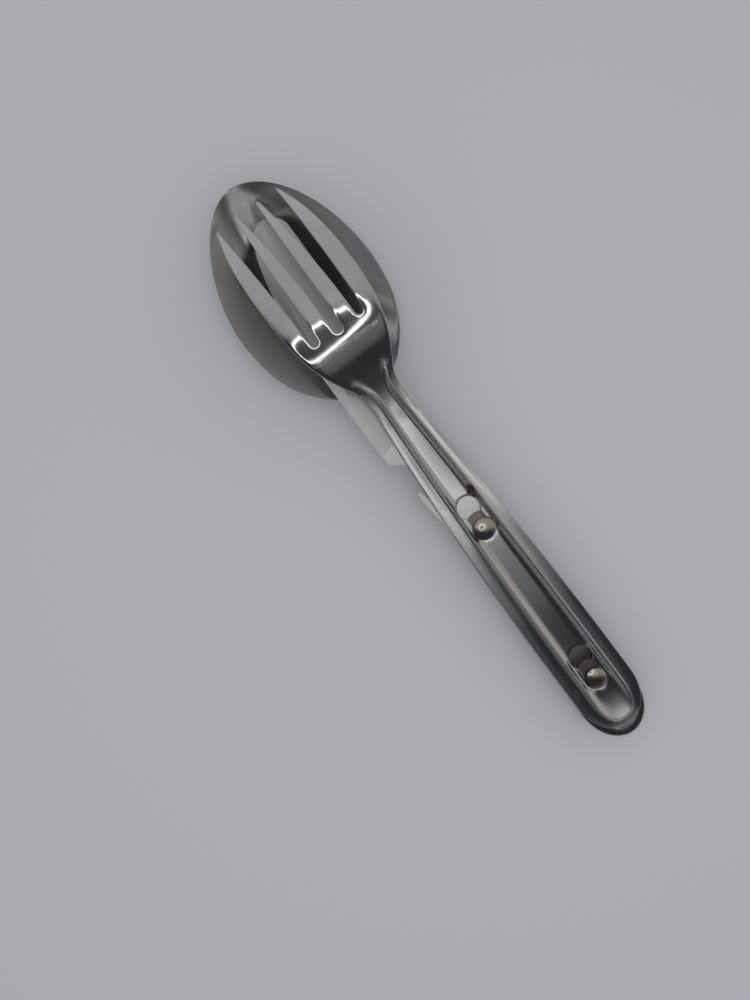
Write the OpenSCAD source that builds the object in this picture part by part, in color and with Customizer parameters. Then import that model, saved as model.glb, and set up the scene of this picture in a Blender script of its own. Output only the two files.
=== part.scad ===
// Nesting camp cutlery: a fork, a knife and a spoon clipped together on two double-headed studs.
// The set is drawn lying level, with the knife's middle plane at z = 0, the spoon's tip at x = 0 and
// the handles along +X. place_set() then lays it down on the spoon's bowl and on the handle's end.
// The cutting edge is on the -Y side. Fork and spoon slide 7 mm along +X to come off the studs.

/* [Sheet and plate] */
// Thickness of the fork's and the spoon's sheet
sheet_t = 1.0; // [0.8:0.05:1.3]
// Thickness of the knife's plate
knife_t = 1.5; // [1.2:0.1:2]
// Running gap between the sliding sheets, the washers and the stud heads
slide_gap = 0.05; // [0.03:0.01:0.1]

/* [Handles of fork and spoon] */
// Width of the neck, the narrowest place
neck_w = 9.9; // [9:0.1:11]
// Distance from the spoon's tip to the narrowest place of the neck
neck_x = 71.2; // [70:0.2:73]
// Greatest width of a handle
handle_w = 17.8; // [17:0.1:19]
// Distance from the spoon's tip to the handle's widest place
widest_x = 159.2; // [155:0.2:160]
// Length of the rounded end of a handle
end_round = 12; // [10:0.5:14]
// Share of the handle's width that the sunk middle panel takes
panel_share = 0.55; // [0.5:0.01:0.58]
// Width of the outer rib at the very end of the handle
end_rib = 2.6; // [2.2:0.1:3]
// Height of the crest between the panel and the outer rib
crest_h = 1.1; // [1:0.05:1.3]
// Share of the panel's half width that rises towards the crest
panel_rise = 0.6; // [0.45:0.01:0.65]
// Height of the panel's gentle dish at the crest
panel_dish = 0.12; // [0.05:0.01:0.2]
// Height just outside the crest
shoulder_h = 0.45; // [0.3:0.05:0.6]
// Height of the handle's outer lip
lip_h = 0.52; // [0.46:0.02:0.8]

/* [Spoon] */
// Length of the spoon
spoon_l = 183.7; // [181:0.1:187]
// Greatest width of the bowl
bowl_w = 42.3; // [40:0.1:45]
// Distance from the spoon's tip to the bowl's widest place
bowl_mid_x = 34.9; // [33:0.1:37]
// Distance from the bowl's widest place to where its side curve would close behind
bowl_back = 29.5; // [28:0.1:30]
// Depth of the bowl under its rim
bowl_depth = 8; // [6:0.1:10]
// Rise of the rim at the spoon's tip
bowl_tip_rise = 0.7; // [0:0.1:2]
// How far the bowl sits to the edge side of the handle's axis
bowl_offset = 0.8; // [0:0.1:1.5]
// Share of the bowl's half width that is flat along its bottom
bowl_flat = 0.14; // [0.14:0.01:0.2]

/* [Fork] */
// Distance from the spoon's tip to the tips of the tines
fork_tip_x = 8.1; // [7:0.1:10]
// Distance from the spoon's tip to the end of the fork's handle
fork_end_x = 179.1; // [177:0.1:180]
// Greatest width of the fork's head
head_w = 26.8; // [26.5:0.1:28.5]
// Distance from the spoon's tip to the head's widest place
head_mid_x = 37.2; // [35:0.1:38]
// Distance from the head's widest place to where its shoulder curve would close
head_back = 28; // [27:0.1:29]
// Distance from the spoon's tip to the closed ends of the gaps between the tines
gap_end_x = 49.5; // [48:0.1:51]
// How much sooner the outer gaps end than the middle one
side_gap_back = 0.7; // [0:0.1:1.5]
// Width of the middle gap at its closed end
mid_gap_w = 2.75; // [2.5:0.05:3.2]
// Width of the middle gap at the tips
mid_gap_tip_w = 6.0; // [5.5:0.1:6.4]
// Width of an outer gap at its closed end
side_gap_w = 2.4; // [2.2:0.05:3]
// Width of an outer gap at the tips
side_gap_tip_w = 5.5; // [5:0.1:6]
// Width of an inner tine at its tip
tine_tip_w = 0.9; // [0.8:0.05:1.2]
// Width of an inner tine at its root
tine_root_w = 4.45; // [4.2:0.05:4.6]
// Clearance between the tine tips and the knife's face
tip_clear = 0.55; // [0.4:0.05:1]
// Height of the hump over the level of the handle's panel
hump_h = 9.2; // [8.5:0.1:10]
// Distance from the spoon's tip to the top of the hump
hump_x = 38.2; // [37:0.1:40]
// Steepness of the straight fall behind the hump
fall_slope = 0.39; // [0.35:0.01:0.42]
// Fall of the head's edges below its middle at the hump
head_crown = 0.25; // [0.1:0.05:0.6]

/* [Knife] */
// Distance from the spoon's tip to the knife's tip
knife_tip_x = 12.2; // [11:0.1:14]
// Radius of the round tip
knife_tip_r = 5.25; // [4.5:0.05:5.5]
// Distance of the spine from the set's axis at the tip
spine_tip_y = 6.8; // [6.4:0.1:7]
// Distance of the cutting edge from the set's axis
edge_y = 10.4; // [9.5:0.1:11]
// Length of the curved belly of the edge
belly_l = 49; // [46:0.5:52]
// Distance from the spoon's tip to where the ground edge stops
plunge_x = 81; // [80:0.1:81.5]
// Width of the ground edge
bevel_w = 2.5; // [2:0.1:3]
// Thickness left at the cutting edge
edge_t = 0.3; // [0.2:0.05:0.5]
// Distance from the spoon's tip to the end of the full-depth blade
heel_x = 84.2; // [83.5:0.1:84.4]
// Width of the knife's handle
knife_handle_w = 12.2; // [12:0.1:12.6]
// Distance from the end of the fork back to the end of the knife
knife_end_back = 4; // [3:0.1:6]

/* [Cap lifter] */
// Distance from the spoon's tip to the middle of the notch
notch_x = 91.5; // [91:0.1:92]
// Distance of the notch's middle from the set's axis
notch_y = 5; // [4.8:0.1:5.2]
// Radius of the notch
notch_r = 4; // [3.8:0.05:4.2]
// Distance from the notch's middle to the middle of the pocket behind the hook
pocket_dx = 4; // [3.5:0.1:4.3]
// Radius of the pocket behind the hook
pocket_r = 2.5; // [2.2:0.05:2.7]
// Distance of the hook's outermost edge from the set's axis
hook_y = 9; // [8.2:0.1:9.2]
// Distance from the notch's middle to the hook's tip
hook_dx = 2.6; // [2.4:0.05:2.8]
// Length over which the hook's back falls to the handle
hook_l = 32; // [24:0.5:36]

/* [Studs] */
// Distance from the spoon's tip to the front stud
front_stud_x = 112.9; // [112:0.1:115]
// Distance between the two studs
stud_pitch = 50.8; // [49:0.1:52]
// Diameter of a stud's neck
neck_d = 4.2; // [4:0.05:4.3]
// Diameter of the front stud's heads
front_head_d = 5.8; // [5.6:0.05:6]
// Diameter of the rear stud's heads
rear_head_d = 5.6; // [5.5:0.05:6]
// Height of a head
head_h = 0.9; // [0.8:0.05:0.95]
// Height of a head's straight side wall
head_wall_h = 0.35; // [0.3:0.05:0.4]
// Outside diameter of a washer
washer_d = 10; // [9:0.1:10.2]
// Thickness of a washer
washer_t = 0.5; // [0.4:0.05:0.7]

/* [Keyholes] */
// Distance from a stud to the round end of its keyhole, which is also the sliding travel
keyhole_travel = 7; // [6.8:0.1:7.4]
// Diameter of the keyhole's round end
keyhole_d = 6.5; // [6.3:0.05:6.7]
// Clearance on each side of a stud's neck in the keyhole's slot
neck_clear = 0.1; // [0.05:0.01:0.1]
// Diameter of the shallow seat around a stud's head
seat_d = 6.8; // [6.6:0.1:7]
// Depth of the seat
seat_depth = 0.3; // [0.2:0.05:0.4]

/* [Hidden] */
$fn = 48;

eps = 0.01;
big = 50;

// Levels, from the knife's middle plane outwards; fork above and spoon below are alike
knife_face = knife_t / 2;
washer_face = knife_face + washer_t;
panel_in = washer_face + slide_gap;
panel_out = panel_in + sheet_t;
head_in = panel_out + slide_gap;
rear_stud_x = front_stud_x + stud_pitch;
slot_w = neck_d + 2 * neck_clear;
track_w = max(front_head_d, rear_head_d) + 4 * neck_clear;
head_half = head_w / 2;
bowl_half = bowl_w / 2;
handle_half = handle_w / 2;

// 0 before a, 1 after b, smooth between
function smooth(a, b, x) = let (t = max(0, min(1, (x - a) / (b - a)))) t * t * (3 - 2 * t);
// The greater of two values, rounded over a width k where they cross
function soft_max(a, b, k) = (a + b + sqrt((a - b) * (a - b) + k * k)) / 2;
// Height of a unit ellipse over its axis at t
function round_off(t) = sqrt(max(0, 1 - t * t));

// ---- Handles: outline, middle panel and ribbed section ----
bowl_neck_blend = 5;
head_neck_blend = 3;
rib_start_x = neck_x - 13;
rib_full_x = neck_x + 1;
// Ahead of here the crests spread apart with the head
flare_x = neck_x - 3.2;
flare = 0.055;
widest_crest = 0.8;

function handle_half_w(x) = let (t = max(0, min(1, (x - neck_x) / (widest_x - neck_x))))
    neck_w / 2 + (handle_half - neck_w / 2) * (1 - (1 - t) * (1 - t));
// A head's half width w, rounded into the neck over the head's back half
function into_neck(x, w, mid_x, back, blend) = soft_max(w, neck_w / 2,
    blend * smooth(mid_x, mid_x + back / 2, x) * (1 - smooth(mid_x + back, neck_x, x)));
function end_t(x, end_x) = max(0, (x - end_x + end_round) / end_round);
function handle_outline(x, end_x) = handle_half_w(x) * round_off(end_t(x, end_x));

// Coordinate across the handle: 0 to 1 from the axis to the crest, 1 to 2 from the crest to the edge.
// Round the end the edge is an ellipse and the crest a squarer oval about the same centre, and the
// ray through it is followed.
crest_oval = 2.8;
function across(x, y, end_x, head_w_of) =
    let (w = x < neck_x ? head_w_of(x) : handle_half_w(x),
         spread = flare * pow(max(0, flare_x - x), 2),
         p = min(widest_crest * w, panel_share * handle_half_w(x) + spread),
         dx = max(0, x - end_x + end_round), r = max(eps, norm([dx, y])),
         to_edge = norm([dx / end_round, y / w]) / r,
         to_crest = pow(pow(dx / (end_round - end_rib), crest_oval) + pow(abs(y) / p, crest_oval),
                        1 / crest_oval) / r,
         r_edge = 1 / to_edge, r_crest = 1 / to_crest)
    r < r_crest ? r / r_crest : 1 + min(1, (r - r_crest) / (r_edge - r_crest));

// Height of the ribbed section over the panel: dished panel, sharp crest, valley and lip
crest_drop = 0.14;
rise_power = 2.5;
rib_fall = 0.22;
function ribbed(s) =
    s < 1 ? panel_dish * s * s
        + (crest_h - panel_dish) * pow(max(0, (s - 1 + panel_rise) / panel_rise), rise_power)
    : s < 1 + crest_drop ? crest_h + (shoulder_h - crest_h) * (s - 1) / crest_drop
    : let (t = (s - 1 - crest_drop) / (1 - crest_drop))
        shoulder_h - rib_fall * t + (lip_h - shoulder_h + rib_fall) * pow(t, 3);
function handle_relief(x, y, end_x, head_w_of) =
    smooth(rib_start_x, rib_full_x, x) * ribbed(across(x, y, end_x, head_w_of));

// ---- Pressed sheets: one closed skin over a grid of stations along x and lanes across ----
// Lanes sit where the handle's section turns, on both sides of the axis
panel_lanes = [0.25, 1 - panel_rise, 1 - panel_rise / 2, 1];
rib_lanes = [crest_drop, 0.4, 0.7, 1];
half_lanes = concat([for (p = panel_lanes) p * panel_share],
                    [for (r = rib_lanes) panel_share + (1 - panel_share) * r]);
lanes = concat([for (i = [len(half_lanes) - 1:-1:0]) -half_lanes[i]], [0], half_lanes);

// Sheet thickness measured straight down, so that the wall keeps its thickness on a slope
slope_step = 0.05;
function upright_t(x, y, z_of) =
    let (sx = (z_of(x + slope_step, y) - z_of(x - slope_step, y)) / (2 * slope_step),
         sy = (z_of(x, y + slope_step) - z_of(x, y - slope_step)) / (2 * slope_step))
    sheet_t * sqrt(1 + min(2, sx * sx + sy * sy));

// z_of gives the face that the knife side sees; grow is +1 if the metal lies above it and -1 if below
function sheet_points(stations, half_w_of, mid_y_of, z_of, grow) =
    [for (face = [0, 1]) for (x = stations) for (lane = lanes)
        let (y = mid_y_of(x) + lane * half_w_of(x), z = z_of(x, y))
        [x, y, face == 0 ? z : z + grow * upright_t(x, y, z_of)]];

module pressed_sheet(points, stations, grow) {
    n = len(lanes);
    m = len(stations);
    up = grow > 0 ? [0, 1, 2] : [0, 2, 1];
    function v(face, i, j) = face * n * m + i * n + j;
    function quad(a, b, c, d) = [[a, b, c], [a, c, d]];
    skins = [for (i = [0:m - 2]) for (j = [0:n - 2]) each concat(
        quad(v(0, i, j), v(0, i + 1, j), v(0, i + 1, j + 1), v(0, i, j + 1)),
        quad(v(1, i, j), v(1, i, j + 1), v(1, i + 1, j + 1), v(1, i + 1, j)))];
    sides = [for (i = [0:m - 2]) each concat(
        quad(v(0, i, 0), v(1, i, 0), v(1, i + 1, 0), v(0, i + 1, 0)),
        quad(v(0, i, n - 1), v(0, i + 1, n - 1), v(1, i + 1, n - 1), v(1, i, n - 1)))];
    ends = [for (j = [0:n - 2]) each concat(
        quad(v(0, 0, j), v(0, 0, j + 1), v(1, 0, j + 1), v(1, 0, j)),
        quad(v(0, m - 1, j), v(1, m - 1, j), v(1, m - 1, j + 1), v(0, m - 1, j + 1)))];
    faces = concat(skins, sides, ends);
    polyhedron(points, [for (f = faces) [for (k = up) f[k]]]);
}

// ---- Spoon ----
bowl_power = 1.85;
bowl_front_deep = 2.2;
bowl_side_deep = 2.2;
end_w = 0.6;

function bowl_half_w(x) = x < bowl_mid_x
    ? bowl_half * pow(max(0, 1 - pow((bowl_mid_x - x) / bowl_mid_x, bowl_power)), 1 / bowl_power)
    : bowl_half * round_off((x - bowl_mid_x) / bowl_back);
function spoon_half_w(x) = max(end_w, x < bowl_mid_x ? bowl_half_w(x)
    : x < neck_x ? into_neck(x, bowl_half_w(x), bowl_mid_x, bowl_back, bowl_neck_blend)
    : handle_outline(x, spoon_l));
function spoon_mid_y(x) = -bowl_offset * smooth(0, bowl_mid_x, x)
    * (1 - smooth(bowl_mid_x + bowl_back / 2, neck_x + 4, x));
function bowl_deep(x) = bowl_depth * (x < bowl_mid_x
    ? 1 - pow((bowl_mid_x - x) / bowl_mid_x, bowl_front_deep)
    : (1 + cos(180 * min(1, (x - bowl_mid_x) / (neck_x + 1 - bowl_mid_x)))) / 2);
function rim_z(x) = bowl_tip_rise * pow(max(0, 1 - x / bowl_mid_x), 2) - panel_in;
function spoon_z(x, y) =
    let (j = min(1, abs(y - spoon_mid_y(x)) / spoon_half_w(x)),
         up_side = max(0, j - bowl_flat) / (1 - bowl_flat))
    rim_z(x) - bowl_deep(x) * (1 - pow(up_side, bowl_side_deep))
        - handle_relief(x, y, spoon_l, function(x) spoon_half_w(x));

bowl_steps = 20;
spoon_stations = concat(
    [for (i = [0:bowl_steps]) (neck_x + 1) * (1 - cos(90 * i / bowl_steps)) * 0.5
        + (neck_x + 1) * 0.5 * pow(i / bowl_steps, 1.6)],
    [for (i = [1:10]) neck_x + 1 + (spoon_l - end_round - neck_x - 1) * i / 10],
    [for (i = [1:12]) spoon_l - end_round + end_round * sin(90 * i / 12)]);
spoon_points = sheet_points(spoon_stations, function(x) spoon_half_w(x), function(x) spoon_mid_y(x),
    function(x, y) spoon_z(x, y), -1);

// ---- Fork, with its back upwards ----
gap_steps = 14;
inner_edge_bend = 2.2;
outer_edge_bend = 1.7;
side_bend = 2.6;
outer_tip_w = 0.4;

function fork_along(x) = max(0, min(1, (gap_end_x - x) / (gap_end_x - fork_tip_x)));
// Borders of the tines on the +Y half, each from its place at the root to its place at the tip
function border(x, root, tip, bend) = root + (tip - root) * pow(fork_along(x), bend);
inner_root = mid_gap_w / 2;
inner_tip = mid_gap_tip_w / 2;
function mid_gap_edge(x) = border(x, inner_root, inner_tip, inner_edge_bend);
function inner_tine_out(x) = border(x, inner_root + tine_root_w, inner_tip + tine_tip_w, outer_edge_bend);
function outer_tine_in(x) = border(x, inner_root + tine_root_w + side_gap_w,
    inner_tip + tine_tip_w + side_gap_tip_w, 1);
// The outer tine leaves a narrow point at its inner side
outer_tip = inner_tip + tine_tip_w + side_gap_tip_w + outer_tip_w;
function head_half_w(x) = x < head_mid_x
    ? head_half - (head_half - outer_tip) * pow((head_mid_x - x) / (head_mid_x - fork_tip_x), side_bend)
    : head_half * round_off((x - head_mid_x) / head_back);
function fork_half_w(x) = max(end_w, x < head_mid_x ? head_half_w(x)
    : x < neck_x ? into_neck(x, head_half_w(x), head_mid_x, head_back, head_neck_blend)
    : handle_outline(x, fork_end_x));
// The fork's back: bent tines up to the hump, then a bend, a straight fall and a soft foot
fall_bend = 18.4;
fall_l = 8;
crown_power = 8;
foot_h = hump_h - fall_slope * (fall_bend / 2 + fall_l);
foot_l = 2 * foot_h / fall_slope;
function tines_z(x) =
    hump_h - (hump_h - knife_face - tip_clear + panel_in) * pow((hump_x - x) / (hump_x - fork_tip_x), 2);
function fall_z(d) =
    d < fall_bend ? hump_h - fall_slope * d * d / (2 * fall_bend)
    : d < fall_bend + fall_l ? hump_h - fall_slope * (d - fall_bend / 2)
    : foot_h * pow(max(0, 1 - (d - fall_bend - fall_l) / foot_l), 2);
function arch(x) = x < hump_x ? tines_z(x) : fall_z(x - hump_x);
function crown(x) = head_crown * (x < hump_x ? 0.25 + 0.75 * smooth(fork_tip_x, hump_x, x)
    : 1 - smooth(hump_x, neck_x, x));
function fork_z(x, y) =
    let (j = min(1, abs(y) / fork_half_w(x)),
         tip_lift = crown(fork_tip_x) * (1 - smooth(fork_tip_x, fork_tip_x + 20, x)))
    panel_in + arch(x) - crown(x) * pow(j, crown_power) + tip_lift
        + handle_relief(x, y, fork_end_x, function(x) fork_half_w(x));

fork_stations = concat(
    [for (i = [0:24]) fork_tip_x + (neck_x + 1 - fork_tip_x) * i / 24],
    [for (i = [1:10]) neck_x + 1 + (fork_end_x - end_round - neck_x - 1) * i / 10],
    [for (i = [1:12]) fork_end_x - end_round + end_round * sin(90 * i / 12)]);

// One gap between tines, seen from above: two border functions, closed by a round end
module tine_gap(low, high, end_x) {
    r = (high(end_x) - low(end_x)) / 2;
    round_x = end_x - r;
    xs = [for (i = [0:gap_steps]) fork_tip_x - eps + (round_x - fork_tip_x) * i / gap_steps];
    translate([0, 0, -big / 2]) linear_extrude(big) polygon(concat(
        [[fork_tip_x - 2, low(fork_tip_x)]],
        [for (x = xs) [x, low(x)]], [for (i = [gap_steps:-1:0]) [xs[i], high(xs[i])]],
        [[fork_tip_x - 2, high(fork_tip_x)]]));
    translate([round_x, (low(round_x) + high(round_x)) / 2, -big / 2]) cylinder(r = r, h = big);
}

// ---- Keyholes: round end and slot, and on the outer face a flat track with a seat for the stud's head ----
module keyholes(outer) {
    for (x = [front_stud_x, rear_stud_x]) translate([x, 0, 0]) {
        translate([-keyhole_travel, 0, -big / 2]) cylinder(d = keyhole_d, h = big);
        translate([0, 0, -big / 2]) cylinder(d = slot_w, h = big);
        translate([-keyhole_travel, -slot_w / 2, -big / 2]) cube([keyhole_travel, slot_w, big]);
        translate([0, 0, outer * panel_out]) mirror([0, 0, outer < 0 ? 1 : 0]) {
            translate([0, 0, -seat_depth]) cylinder(d1 = slot_w, d2 = seat_d, h = seat_depth + eps);
            cylinder(d = seat_d, h = crest_h);
            translate([-keyhole_travel, -track_w / 2, 0]) cube([keyhole_travel, track_w, crest_h]);
        }
    }
}

module spoon() {
    color("silver") difference() {
        pressed_sheet(spoon_points, spoon_stations, -1);
        keyholes(-1);
    }
}

module fork() {
    color("gainsboro") difference() {
        pressed_sheet(sheet_points(fork_stations, function(x) fork_half_w(x), function(x) 0,
            function(x, y) fork_z(x, y), 1), fork_stations, 1);
        tine_gap(function(x) -mid_gap_edge(x), function(x) mid_gap_edge(x), gap_end_x);
        tine_gap(function(x) inner_tine_out(x), function(x) outer_tine_in(x), gap_end_x - side_gap_back);
        tine_gap(function(x) -outer_tine_in(x), function(x) -inner_tine_out(x), gap_end_x - side_gap_back);
        keyholes(1);
    }
}

// ---- Knife: one flat plate ----
belly_steps = 24;
belly_mid_x = knife_tip_x + 0.4 + belly_l;
knife_end_x = fork_end_x - knife_end_back;
spine_end_x = neck_x + 4;
knife_handle_half = knife_handle_w / 2;
hook_steps = 12;
hook_tip_fall = 0.35;
heel_cut = 0.7;
belly_start = 6;
hook_top_x = notch_x + pocket_dx + 1;

function belly_point(a) = [belly_mid_x - belly_l * cos(a), -edge_y * sin(a)];
function belly_normal(a) = let (n = [-edge_y * cos(a), -belly_l * sin(a)]) n / norm(n);
// Places and outward directions along the ground edge, from the tip to the plunge
ground_start = 16;
ground_line = concat(
    [for (i = [0:belly_steps]) let (a = ground_start + (90 - ground_start) * i / belly_steps)
        [belly_point(a), belly_normal(a)]],
    [[[plunge_x, -edge_y], [0, -1]]]);

// The hook's outer line: a short rounded tip, then a long fall to the handle
function hook_line(x) =
    let (along = max(0, min(1, (x - hook_top_x) / (notch_x + hook_l - hook_top_x))))
    knife_handle_half + (hook_y - knife_handle_half) * (1 - along)
        - hook_tip_fall * (1 - smooth(notch_x + hook_dx, hook_top_x, x));

module knife_outline() {
    translate([knife_tip_x + knife_tip_r, spine_tip_y - knife_tip_r]) circle(r = knife_tip_r, $fn = 96);
    polygon(concat(
        [[knife_tip_x + knife_tip_r, spine_tip_y]],
        [for (i = [0:belly_steps]) let (a = belly_start + (90 - belly_start) * i / belly_steps)
            belly_point(a)],
        [[plunge_x, -edge_y], [heel_x, -edge_y], [notch_x - notch_r - heel_cut, -notch_y - 2 * heel_cut],
         [notch_x - notch_r, -notch_y], [notch_x + hook_dx - heel_cut, -notch_y]],
        [for (i = [0:hook_steps]) let (x = notch_x + hook_dx + (hook_l - hook_dx) * i / hook_steps)
            [x, -hook_line(x)]],
        [[knife_end_x - knife_handle_half, -knife_handle_half],
         [knife_end_x - knife_handle_half, knife_handle_half],
         [spine_end_x, knife_handle_half]]));
    translate([knife_end_x - knife_handle_half, 0]) circle(r = knife_handle_half, $fn = 96);
}

module cap_notch() {
    translate([notch_x, -notch_y]) circle(r = notch_r);
    translate([notch_x + pocket_dx, -notch_y]) circle(r = pocket_r);
}

// Wedge-shaped cutter that grinds one face of the edge; side is +1 on the fork's side
module grind(side) {
    fall = (knife_face - edge_t / 2) / bevel_w;
    over = 0.3;
    n = len(ground_line);
    sections = [for (g = ground_line) let (p = g[0], d = g[1])
        [[each p - d * (bevel_w + over), knife_face + fall * over],
         [each p + d * over, edge_t / 2 - fall * over],
         [each p + d * over, knife_face + fall * over]]];
    points = [for (s = sections) for (q = s) [q[0], q[1], q[2]]];
    wall = [for (i = [0:n - 2]) for (k = [0:2]) let (a = 3 * i + k, b = 3 * i + (k + 1) % 3)
        each [[a, b, b + 3], [a, b + 3, a + 3]]];
    mirror([0, 0, side > 0 ? 0 : 1])
        polyhedron(points, concat(wall, [[2, 1, 0], [3 * n - 3, 3 * n - 2, 3 * n - 1]]));
}

module knife() {
    color("lightsteelblue") difference() {
        translate([0, 0, -knife_face]) linear_extrude(knife_t) difference() {
            knife_outline();
            cap_notch();
        }
        grind(1);
        grind(-1);
        for (x = [front_stud_x, rear_stud_x])
            translate([x, 0, -knife_t]) cylinder(d = neck_d, h = 2 * knife_t);
    }
}

// ---- Studs and washers ----
// Domed head, turned about the stud's axis
module stud(x, head_d) {
    cap_h = head_h - head_wall_h;
    dome_r = (head_d * head_d / 4 + cap_h * cap_h) / (2 * cap_h);
    dome_steps = 8;
    half = head_d / 2;
    top = head_in + head_h;
    arc = [for (i = [0:dome_steps]) let (a = asin(half / dome_r) * (1 - i / dome_steps))
        [dome_r * sin(a), top - dome_r + dome_r * cos(a)]];
    upper = concat([[neck_d / 2, 0], [neck_d / 2, head_in], [half, head_in]], arc);
    color("rosybrown") translate([x, 0, 0]) rotate_extrude(angle = 360, $fn = 64)
        polygon(concat(upper, [for (i = [len(upper) - 1:-1:1]) [upper[i][0], -upper[i][1]]]));
}

module washer(x, side) {
    color("darkgray") translate([x, 0, side > 0 ? knife_face : -washer_face]) difference() {
        cylinder(d = washer_d, h = washer_t);
        translate([0, 0, -eps]) cylinder(d = neck_d, h = washer_t + 2 * eps);
    }
}

// ---- The set lies on the bowl and on the handle's end ----
spoon_low = [for (i = [len(spoon_points) / 2:len(spoon_points) - 1]) spoon_points[i]];
bowl_low = [for (p = spoon_low) if (p[0] < neck_x && p[2] < -panel_out - bowl_depth / 2) p];
handle_low = [for (p = spoon_low) if (p[0] > widest_x) p];
function rest_slope(b) = min([for (h = handle_low) (h[2] - b[2]) / (h[0] - b[0])]);
lie_angle = atan(max([for (b = bowl_low) rest_slope(b)]));
function laid(p) = [p[0] * cos(lie_angle) + p[2] * sin(lie_angle), p[1],
                    p[2] * cos(lie_angle) - p[0] * sin(lie_angle)];
laid_points = [for (p = spoon_points) laid(p)];
laid_x = [for (p = laid_points) p[0]];
laid_y = [for (p = laid_points) p[1]];
laid_z = [for (p = laid_points) p[2]];
set_shift = [-(min(laid_x) + max(laid_x)) / 2, -(min(laid_y) + max(laid_y)) / 2, -min(laid_z)];

module place_set() {
    translate(set_shift) rotate([0, lie_angle, 0]) children();
}

place_set() spoon();
place_set() fork();
place_set() knife();
place_set() stud(front_stud_x, front_head_d);  // front_stud
place_set() stud(rear_stud_x, rear_head_d);  // rear_stud
place_set() washer(front_stud_x, 1);  // front_washer_fork_side
place_set() washer(front_stud_x, -1);  // front_washer_spoon_side
place_set() washer(rear_stud_x, 1);  // rear_washer_fork_side
place_set() washer(rear_stud_x, -1);  // rear_washer_spoon_side
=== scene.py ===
"""Nesting camp cutlery: fork, knife and spoon clipped together on two double-headed studs."""
import math

import bpy
import numpy as np
from mathutils.geometry import delaunay_2d_cdt
from mathutils.kdtree import KDTree
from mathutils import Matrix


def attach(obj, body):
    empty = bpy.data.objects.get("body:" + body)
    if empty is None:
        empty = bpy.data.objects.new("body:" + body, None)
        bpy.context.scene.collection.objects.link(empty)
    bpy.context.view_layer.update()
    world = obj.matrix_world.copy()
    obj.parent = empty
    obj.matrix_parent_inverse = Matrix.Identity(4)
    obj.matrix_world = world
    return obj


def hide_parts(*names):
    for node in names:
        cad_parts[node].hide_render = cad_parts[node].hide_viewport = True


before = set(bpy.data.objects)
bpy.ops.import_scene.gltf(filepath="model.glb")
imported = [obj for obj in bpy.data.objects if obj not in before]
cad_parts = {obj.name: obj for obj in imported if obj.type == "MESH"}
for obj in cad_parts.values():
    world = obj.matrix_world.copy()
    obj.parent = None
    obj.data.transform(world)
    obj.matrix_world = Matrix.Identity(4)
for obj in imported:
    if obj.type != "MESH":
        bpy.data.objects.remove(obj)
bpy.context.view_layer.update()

# ---------------------------------------------------------------- sizes, in millimetres
MM = 0.001
LIE = math.radians(2.48937)
SHIFT = (-91.686, 0.8, 11.8231)

SHEET_T = 1.0
KNIFE_T = 1.5
SLIDE_GAP = 0.05
WASHER_T = 0.5
KNIFE_FACE = KNIFE_T / 2
PANEL_IN = KNIFE_FACE + WASHER_T + SLIDE_GAP
PANEL_OUT = PANEL_IN + SHEET_T
HEAD_IN = PANEL_OUT + SLIDE_GAP

NECK_W, NECK_X = 9.9, 71.2
HANDLE_HALF, WIDEST_X = 8.9, 159.2
END_ROUND, END_RIB, CREST_OVAL = 12.0, 2.6, 2.8
PANEL_SHARE, PANEL_RISE, RISE_POWER = 0.55, 0.6, 2.5
CREST_H, SHOULDER_H, LIP_H, CREST_DROP = 1.1, 0.45, 0.52, 0.14
PANEL_DISH, RIB_FALL = 0.12, 0.22

SPOON_L, BOWL_HALF, BOWL_MID_X, BOWL_BACK = 183.7, 21.15, 34.9, 29.5
BOWL_DEPTH, BOWL_TIP_RISE, BOWL_OFFSET, BOWL_FLAT = 8.0, 0.7, 0.8, 0.14
BOWL_POWER, BOWL_FRONT_DEEP, BOWL_SIDE_DEEP = 1.85, 2.2, 2.2

FORK_TIP_X, FORK_END_X = 8.1, 179.1
HEAD_HALF, HEAD_MID_X, HEAD_BACK = 13.4, 37.2, 28.0
GAP_END_X, SIDE_GAP_BACK = 49.5, 0.7
INNER_ROOT, INNER_TIP = 1.375, 3.0
INNER_OUT_ROOT, INNER_OUT_TIP = 5.825, 3.9
OUTER_IN_ROOT, OUTER_IN_TIP, OUTER_TIP = 8.225, 9.4, 9.8
HUMP_H, HUMP_X, HEAD_CROWN, TIP_CLEAR = 9.2, 38.2, 0.25, 0.55
FALL_BEND, FALL_L, FALL_SLOPE = 18.4, 8.0, 0.39
FLARE_X, FLARE = 68.0, 0.055

KNIFE_TIP_X, KNIFE_TIP_R, SPINE_TIP_Y, EDGE_Y = 12.2, 5.25, 6.8, 10.4
BELLY_L, PLUNGE_X, BEVEL_W, EDGE_T, HEEL_X = 49.0, 81.0, 2.5, 0.3, 84.2
KNIFE_HANDLE_HALF = 6.1
KNIFE_END_X = FORK_END_X - 4
NOTCH_X, NOTCH_Y, NOTCH_R = 91.5, 5.0, 4.0
POCKET_DX, POCKET_R = 4.0, 2.5
HOOK_Y, HOOK_DX, HOOK_L = 9.0, 2.6, 32.0

FRONT_STUD_X = 112.9
REAR_STUD_X = FRONT_STUD_X + 50.8
NECK_D, FRONT_HEAD_D, REAR_HEAD_D = 4.2, 5.8, 5.6
HEAD_H, HEAD_WALL_H = 0.9, 0.35
WASHER_D = 10.0
TRAVEL, KEYHOLE_R, SLOT_HALF, SLOT_FILLET = 7.0, 3.25, 2.2, 1.0
SEAT_R, SEAT_DEPTH = 3.4, 0.3
TRACK_HALF = 3.1


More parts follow.
